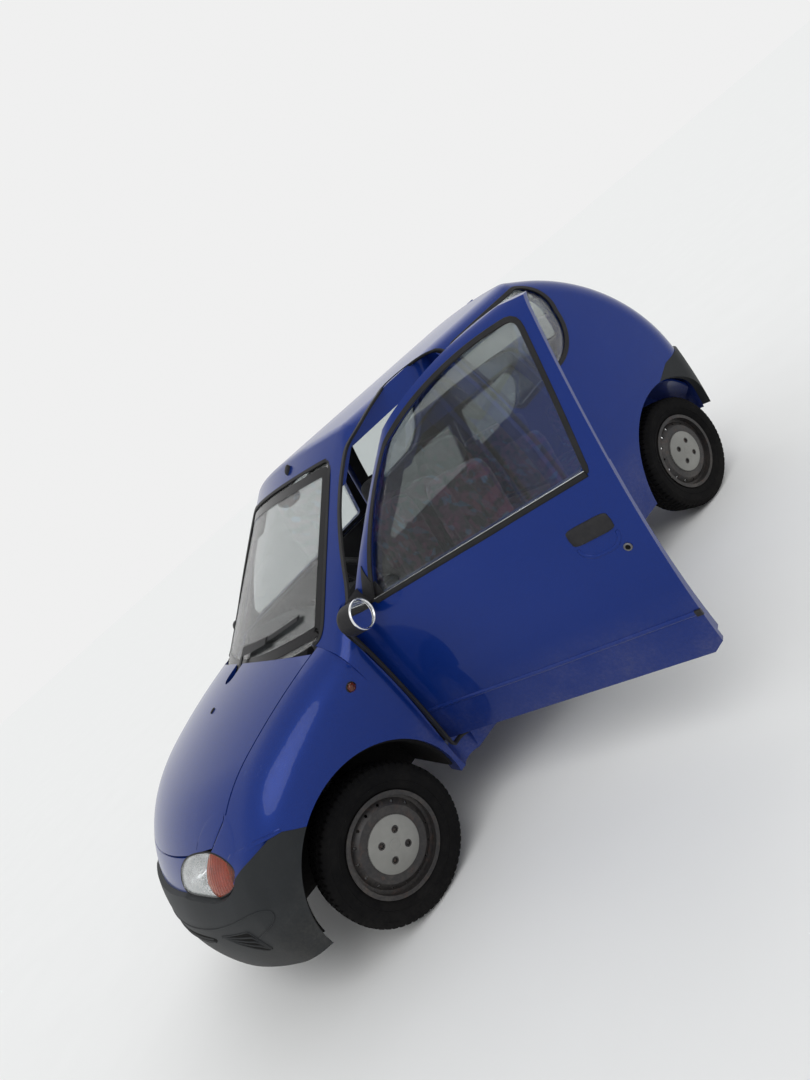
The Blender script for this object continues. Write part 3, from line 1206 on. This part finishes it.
def screen_trim():
    """Rubber round the windscreen, its dark printed border, and the rear window's rubber."""
    corner = np.array([(-0.500, 1.342), (0.0, 1.368), (0.500, 1.342), (0.620, 0.908), (-0.620, 0.908)])
    outline = screen_line(corner, arc(corner[0], corner[1], corner[2], 60), (40, 60, 40), 320)
    away = unit(np.stack([np.gradient(outline[:, 1]), -np.gradient(outline[:, 0])], 1))
    away *= np.sign(((outline - (0, 1.13)) * away).sum(1, keepdims=True))
    around = ["windscreen", "roof_panel", "side_panel_left", "side_panel_right"]
    for name, grow, profile, nodes, material in (
        ("screen_rubber", 0.001, flat_band(0.016, 0.0035, 0.002), around, "rubber"),
        ("screen_border", -0.026, flat_band(0.042, 0.0006, 0.001, 0.0002), ["windscreen"], "border"),
    ):
        line = on_front(outline + away * grow, nodes, True)
        make(name, strip(line, profile, True), material, SHELL)
    corner = np.array([(-0.440, 1.330), (0.0, 1.345), (0.440, 1.330), (0.505, 0.985), (-0.505, 0.985)])
    outline = screen_line(corner, evenly(corner[:3], 50), (30, 50, 30), 260)
    line = on_front(outline, ["tailgate", "tailgate_glass"], True, -1.0, 4)
    shape = strip(line, flat_band(0.020, 0.0035), True)
    make("rear_window_rubber", shape, "rubber", "tailgate")


def side_trim(side, sign):
    """Rubber of the rear side window, the seal round the door opening, and the round amber repeater."""
    edge = quarter_edge(150)
    edge = edge + unit(edge - edge.mean(0)) * 0.002
    path, normal = on_side(edge, ["quarter_glasses", "side_panel_right"], True)
    shape = strip((path, unit(softened(normal, True, 3))), flat_band(0.020, 0.0035), True)
    make(f"quarter_rubber_{side}", shape, "rubber", SHELL, sign)

    edge = door_edge(260)
    tangent = unit(np.roll(edge, -1, 0) - np.roll(edge, 1, 0))
    away = np.stack([tangent[:, 1], -tangent[:, 0]], 1)
    away *= np.sign(((edge - edge.mean(0)) * away).sum(1).mean())
    path, _ = on_side(edge + away * 0.016, ["side_panel_right", "front_wings", "roof_panel"], True)
    inward = -np.stack([away[:, 0], 0 * away[:, 0], away[:, 1]], 1)
    seal = softened(path + (0, 0.040, 0) + inward * 0.0085, True, 3)
    shape = strip((seal, inward), half_round(0.022, 0.0055, 0.006), True)
    make(f"door_seal_{side}", shape, "rubber", SHELL, sign)

    place, _ = cast([(0.853, -1.0, 0.754)], ["front_wings"], (0, 1, 0))
    centre = place[0] * (1, -sign, 1)
    dome = [(AXLE, 0.0105), (0.006, 0.0100), (0.011, 0.0080), (0.0145, 0.0045), (0.0160, 0.0010)]
    dome.append((0.0162, -0.003))
    rim = [(0.0155, 0.0005), (0.0165, 0.0030), (0.0185, 0.0022), (0.0195, -0.002)]
    make(f"side_repeater_{side}", lathe(dome, 48, centre, sign), "amber")
    make(f"repeater_rim_{side}", lathe(rim, 48, centre, sign), "rubber")


def small_fittings():
    """Washer nozzle on the bonnet, aerial foot on the roof, and the tailgate's handle."""
    for name, at, node, body, size, lean in (
        ("washer_nozzle", (1.120, 0.054), "bonnet", "bonnet", (0.013, 0.0075, 0.006), 0.0),
        ("aerial_foot", (0.243, 0.159), "roof_panel", SHELL, (0.022, 0.012, 0.016), 0.4),
    ):
        place, normal = cast([(*at, 1.0)], [node], (0, 0, -1))
        points, faces = pillow(size, 0.8, 0.6, (32, 16))
        side = unit(np.cross(normal[0], (1, 0, 0)))
        points[:, 0] -= lean * np.maximum(points[:, 2], 0)
        points = place[0] + points @ np.stack([np.cross(side, normal[0]), side, normal[0]])
        make(name, (points, faces), "trim", body)
    grid = between(np.linspace(-0.085, 0.085, 40), np.full(40, 0.905), np.full(40, 0.935), 10, -1.0)
    shape = laid_slab(grid, ["tailgate"], (1, 0, 0), 0.012, 0.014)
    make("tailgate_handle", shape, "trim", "tailgate")


# Cabin
PADS = []


def pad(name, size, place, lean, material, node, powers=(0.28, 0.30), bow=0.0, seams=(), cap=0.012):
    """Padded piece: a rounded box leaned about Y and remeshed, to be blown up as cloth, drawn in at seams.

    lean is in degrees, and bow moves X by the square of the share of the way out along Y. seams holds
    (axis, offset, depth): the surface sinks by depth where its local axis passes the offset.
    """
    lean = math.radians(lean)
    points, faces = pillow(size, *powers)
    points[:, 0] += bow * (points[:, 1] / size[1]) ** 2
    piece = make(name, placed((points, faces), place, lean), material, SHELL, sharp=80)
    remesh = piece.modifiers.new("remesh", "REMESH")
    remesh.mode, remesh.voxel_size = "VOXEL", PAD_VOXEL
    shape = piece.evaluated_get(bpy.context.evaluated_depsgraph_get())
    mesh = bpy.data.meshes.new_from_object(shape)
    piece.modifiers.clear()
    piece.data = mesh
    mesh.polygons.foreach_set("use_smooth", np.ones(len(mesh.polygons), bool))
    PADS.append((piece, np.array(place) + MIDDLE, lean, seams, cap))
    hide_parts(node)


def corners(mesh):
    """A mesh's vertices as an array."""
    flat = np.empty(len(mesh.vertices) * 3, np.float32)
    mesh.vertices.foreach_get("co", flat)
    return flat.reshape(-1, 3).astype(float)


def blow_up_pads():
    """One cloth run for every pad: air pressure, no gravity, each point moved by its pad's cap at most."""
    scene = bpy.context.scene
    rest = {piece.name: corners(piece.data) for piece, *_ in PADS}
    for piece, *_ in PADS:
        cloth = piece.modifiers.new("cloth", "CLOTH")
        cloth.settings.use_pressure = True
        cloth.settings.uniform_pressure_force = PAD_PRESSURE
        cloth.settings.effector_weights.gravity = 0.0
        cloth.settings.quality = 4
        cloth.point_cache.frame_start, cloth.point_cache.frame_end = 1, PAD_FRAMES
    for step in range(1, PAD_FRAMES + 1):
        scene.frame_set(step)
    graph = bpy.context.evaluated_depsgraph_get()
    for piece, place, lean, seams, cap in PADS:
        start = rest[piece.name]
        move = corners(piece.evaluated_get(graph).data) - start
        piece.modifiers.clear()
        far = np.linalg.norm(move, axis=1, keepdims=True)
        shape = start + move * np.minimum(1, cap / np.maximum(far, 1e-9))
        local = turn(shape - place, -lean, 1)
        middle = local.mean(0)
        for axis, offset, depth in seams:
            groove = np.exp(-(((local[:, axis] - offset) / SEAM_WIDTH) ** 2))
            inner = unit((middle - local) * [0 if k == axis else 1 for k in range(3)])
            local = local + inner * (depth * groove)[:, None]
        piece.data.vertices.foreach_set("co", (turn(local, lean, 1) + place).astype(np.float32).ravel())
        piece.data.update()
        smooth = piece.modifiers.new("smooth", "SUBSURF")
        smooth.levels = smooth.render_levels = 1
    scene.frame_set(1)


def seats():
    """Front seats with cushion, back and head rest, and the rear bench with its back."""
    channels = ((1, -0.145, 0.007), (1, 0.145, 0.007))
    for side, sign in SIDES.items():
        y = SEAT_Y * sign
        cushion = {"seams": (*channels, (0, 0.10, 0.006)), "cap": 0.006}
        back = {"bow": 0.030, "seams": (*channels, (2, 0.10, 0.005)), "cap": 0.010}
        rest = {"powers": (0.5, 0.6), "cap": 0.005}
        for name, size, place, lean, material, more in (
            ("seat_cushion", (0.205, 0.232, 0.066), (0.068, y, 0.364), 4, "seat", cushion),
            ("seat_back", (0.052, 0.228, 0.300), (-0.222, y, 0.655), -11, "seat", back),
            ("head_rest", (0.040, 0.128, 0.070), (-0.285, y, 1.010), -12, "side_cloth", rest),
        ):
            pad(f"{name}_{side}", size, place, lean, material, "front_seats", **more)
        for k, shift in enumerate((-0.055, 0.055)):
            post = swung(lathe([(AXLE, 0.05), (0.005, 0.048), (0.005, -0.05), (AXLE, -0.052)], 20), 1, 3, 2)
            shape = placed(post, (-0.273, y + shift, 0.940), math.radians(-12))
            make(f"head_rest_post_{side}_{k}", shape, "chrome")
        for k, shift in enumerate((-0.180, 0.180)):
            shape = placed(pillow((0.170, 0.015, 0.022), 0.2, 0.2, (24, 12)), (0.05, y + shift, 0.272))
            make(f"seat_runner_{side}_{k}", shape, "chassis", SHELL)
    bench = tuple((1, offset, 0.007) for offset in (-0.26, 0.0, 0.26))
    for name, size, place, lean, powers, cap in (
        ("bench_cushion", (0.180, 0.450, 0.056), (-0.655, 0, 0.424), 3, (0.2, 0.3), 0.006),
        ("bench_back", (0.050, 0.450, 0.200), (-0.930, 0, 0.660), -13, (0.3, 0.25), 0.008),
    ):
        pad(name, size, place, lean, "seat", "rear_bench", powers, seams=bench, cap=cap)
    blow_up_pads()


def box_piece(name, low, high, material, rounding=0.25, slot=None, lean=0.0, body=SHELL):
    """Rounded box between two corners, leaned about Y by lean in degrees."""
    low, high = np.array(low, float), np.array(high, float)
    shape = pillow((high - low) / 2, rounding, rounding, (32, 16))
    make(name, placed(shape, (low + high) / 2, math.radians(lean)), material, body, sharp=60)


def vents():
    """Round vents with five blades each, whose half lengths follow the ring's circle."""
    for k, (y, z) in enumerate(((0.495, 0.835), (0.155, 0.845), (-0.155, 0.845), (-0.495, 0.835))):
        ring = swung(lathe([(0.018, 0.004), (0.036, 0.009), (0.040, 0.006), (0.042, -0.010)], 48), -2, 1, 3)
        make(f"vent_ring_{k}", placed(ring, (0.438, y, z)), "trim", SHELL)
        for j in range(5):
            height = (j - 2) * 0.0125
            half = math.sqrt(0.034**2 - height**2)
            low, high = (0.430, y - half, z + height - 0.0012), (0.444, y + half, z + height + 0.0012)
            box_piece(f"vent_blade_{k}_{j}", low, high, "trim", 0.3, "dash_plastic")


def dials():
    """Two dials, each with a needle and plain marks round its edge."""
    profile = [(AXLE, 0.001), (0.052, 0.001), (0.055, 0.004), (0.058, 0.004), (0.060, -0.004)]
    face = swung(lathe(profile, 64), -2, 1, 3)
    for k, y in enumerate((SEAT_Y - 0.062, SEAT_Y + 0.062)):
        make(f"dial_{k}", placed(face, (0.466, y, 0.900)), "dial", SHELL)
        box_piece(f"dial_needle_{k}", (0.460, y - 0.002, 0.870), (0.463, y + 0.001, 0.902), "amber", 0.3)
        ticks, faces = [], []
        for angle in np.radians(np.arange(-120, 121, 20)):
            tick, one = pillow((0.0006, 0.0012, 0.0045), 0.3, 0.3, (8, 6))
            faces += [[i + len(tick) * len(ticks) for i in face] for face in one]
            ticks.append(turn(tick + (0, 0, 0.043), angle, 0) + (0.4635, y, 0.900))
        make(f"dial_marks_{k}", (np.vstack(ticks), faces), "marks")


def cabin_fittings():
    """Radio, vents, dials, levers, pedals, visors, belts, door pulls, inside mirror's glass, horn pad."""
    box_piece("radio_panel", (0.425, -0.095, 0.680), (0.470, 0.095, 0.845), "trim", 0.2, "dash_plastic", -12)
    vents()
    dials()
    gaiter = [
        (0.062, 0.0), (0.058, 0.012), (0.050, 0.020), (0.052, 0.030), (0.040, 0.042), (0.042, 0.052),
        (0.028, 0.068), (0.030, 0.078), (0.012, 0.110), (0.007, 0.120), (0.007, 0.300), (AXLE, 0.301),
    ]
    points, faces = swung(lathe(gaiter, 40), 1, -3, 2)
    points[:, 0] -= 0.25 * np.maximum(points[:, 2] - 0.05, 0)
    make("gear_lever", (points + (0.430, 0, 0.247), faces), "rubber", SHELL)
    boxes = [
        ("gear_knob", (0.345, -0.024, 0.535), (0.393, 0.024, 0.595), "trim", 0.8, "black_trim", 0),
        ("hand_brake", (-0.130, -0.016, 0.345), (0.110, 0.016, 0.380), "trim", 0.5, "black_trim", -12),
        ("hand_brake_base", (-0.160, -0.045, 0.249), (0.020, 0.045, 0.330), "dash", 0.3, "dash_plastic", 0),
    ]
    for k, y in enumerate((0.245, 0.335, 0.425)):
        low, high = (0.600, y - 0.028, 0.330), (0.614, y + 0.028, 0.395)
        boxes.append((f"pedal_{k}", low, high, "rubber", 0.3, "black_trim", 25))
        low, high = (0.606, y - 0.006, 0.380), (0.622, y + 0.006, 0.600)
        boxes.append((f"pedal_arm_{k}", low, high, "chassis", 0.3, "chassis_black", 8))
    for box in boxes:
        box_piece(*box)
    for side, sign in SIDES.items():
        y = 0.300 * sign
        low, high = (0.095, y - 0.165, 1.3235), (0.235, y + 0.165, 1.3405)
        box_piece(f"sun_visor_{side}", low, high, "lining", 0.3, None, 12)
        belt = [(-0.455, 0.632, 1.060), (-0.430, 0.650, 0.900), (-0.425, 0.662, 0.640)]
        path = softened(evenly([*belt, (-0.420, 0.664, 0.330)], 60), False, 6)
        shape = strip((path, (0, -1, 0)), flat_band(0.046, 0.0012, 0.0012, 0.0003), False)
        make(f"seat_belt_{side}", shape, "belt", SHELL, sign)
        for name, inner, low, high, material, rounding, slot in (
            ("door_pull", 0.628, (-0.060, 0.600), (0.250, 0.645), "dash", 0.35, "dash_plastic"),
            ("door_lever", 0.640, (0.300, 0.735), (0.390, 0.765), "trim", 0.4, "black_trim"),
        ):
            near, far = sorted((inner * sign, 0.672 * sign))
            low, high = (low[0], near, low[1]), (high[0], far, high[1])
            box_piece(f"{name}_{side}", low, high, material, rounding, slot, 0, f"door_{side}")
    shape = placed(disc(10, 80, (0.108, 0.026), lambda r: -0.0012 * (1 - r**4)), (0.2495, 0, 1.305))
    make("inside_mirror_glass", shape, "mirror")
    hub = placed(pillow((0.014, 0.062, 0.048), 0.5, 0.5, (40, 20)), (0.330, SEAT_Y, 0.857), math.radians(25))
    make("horn_pad", hub, "trim", "steering_wheel")


# Stage
def stage():
    """Pale floor, soft lamps, even world light and the camera at the photograph's angle."""
    scene = bpy.context.scene
    floor = bpy.data.meshes.new("floor")
    square = [(x * FLOOR_REACH, y * FLOOR_REACH, 0) for x, y in ((-1, -1), (1, -1), (1, 1), (-1, 1))]
    floor.from_pydata(square, [], [range(4)])
    ground = bpy.data.objects.new("floor", floor)
    scene.collection.objects.link(ground)
    material, t, shader = surface("floor_pale", Roughness=1.0, Specular_IOR_Level=0.0)
    join(t, t.mix(t.noise(3.0, 4.0), (0.81, 0.81, 0.80), (0.84, 0.84, 0.83)), shader, "Base Color")
    floor.materials.append(material)

    world = bpy.data.worlds.new("studio")
    scene.world = world
    world.use_nodes = True
    nodes, links = world.node_tree.nodes, world.node_tree.links
    light = nodes["Background"]
    light.inputs["Color"].default_value = (0.97, 0.985, 1.0, 1)
    light.inputs["Strength"].default_value = SKY_LIGHT
    seen = nodes.new("ShaderNodeBackground")
    seen.inputs["Color"].default_value = (1, 1, 1, 1)
    seen.inputs["Strength"].default_value = BACKGROUND
    path = nodes.new("ShaderNodeLightPath")
    share = path.outputs["Is Camera Ray"]
    for ray in ("Is Glossy Ray", "Is Transmission Ray"):
        either = nodes.new("ShaderNodeMath")
        either.operation = "MAXIMUM"
        links.new(share, either.inputs[0])
        links.new(path.outputs[ray], either.inputs[1])
        share = either.outputs[0]
    mixer = nodes.new("ShaderNodeMixShader")
    links.new(share, mixer.inputs[0])
    links.new(light.outputs[0], mixer.inputs[1])
    links.new(seen.outputs[0], mixer.inputs[2])
    links.new(mixer.outputs[0], nodes["World Output"].inputs["Surface"])

    for name, place, width, power in LAMPS:
        lamp = bpy.data.lights.new(name, "SUN")
        lamp.angle, lamp.energy = math.radians(width), power
        holder = bpy.data.objects.new(name, lamp)
        holder.location = np.array(place) + MIDDLE
        holder.rotation_euler = Vector(-np.array(place)).to_track_quat("-Z", "Y").to_euler()
        scene.collection.objects.link(holder)

    eye = np.array(EYE)
    ahead = unit(np.array(TARGET) - eye)
    right = unit(np.cross(ahead, (0, 0, 1)))
    down = np.cross(ahead, right)
    c, s = math.cos(ROLL), math.sin(ROLL)
    right, down = c * right + s * down, c * down - s * right
    camera = bpy.data.objects.new("camera", bpy.data.cameras.new("camera"))
    camera.data.sensor_width, camera.data.lens = SENSOR, LENS
    axes = np.stack([right, -down, -ahead], 1)
    camera.matrix_world = Matrix.Translation(eye + MIDDLE) @ Matrix(axes.tolist()).to_4x4()
    scene.collection.objects.link(camera)
    scene.camera = camera
    scene.view_settings.view_transform = "Standard"


dress_nodes()
for wheel in WHEELS:
    tyre(wheel)
    wheel_cap(wheel)
both(door_dressing, door_handle, door_mirror)
both(handle_scoop)
both(mirror_sail)
front_corners()
bumper_mouldings()
screen_trim()
both(side_trim)
small_fittings()
seats()
cabin_fittings()
stage()
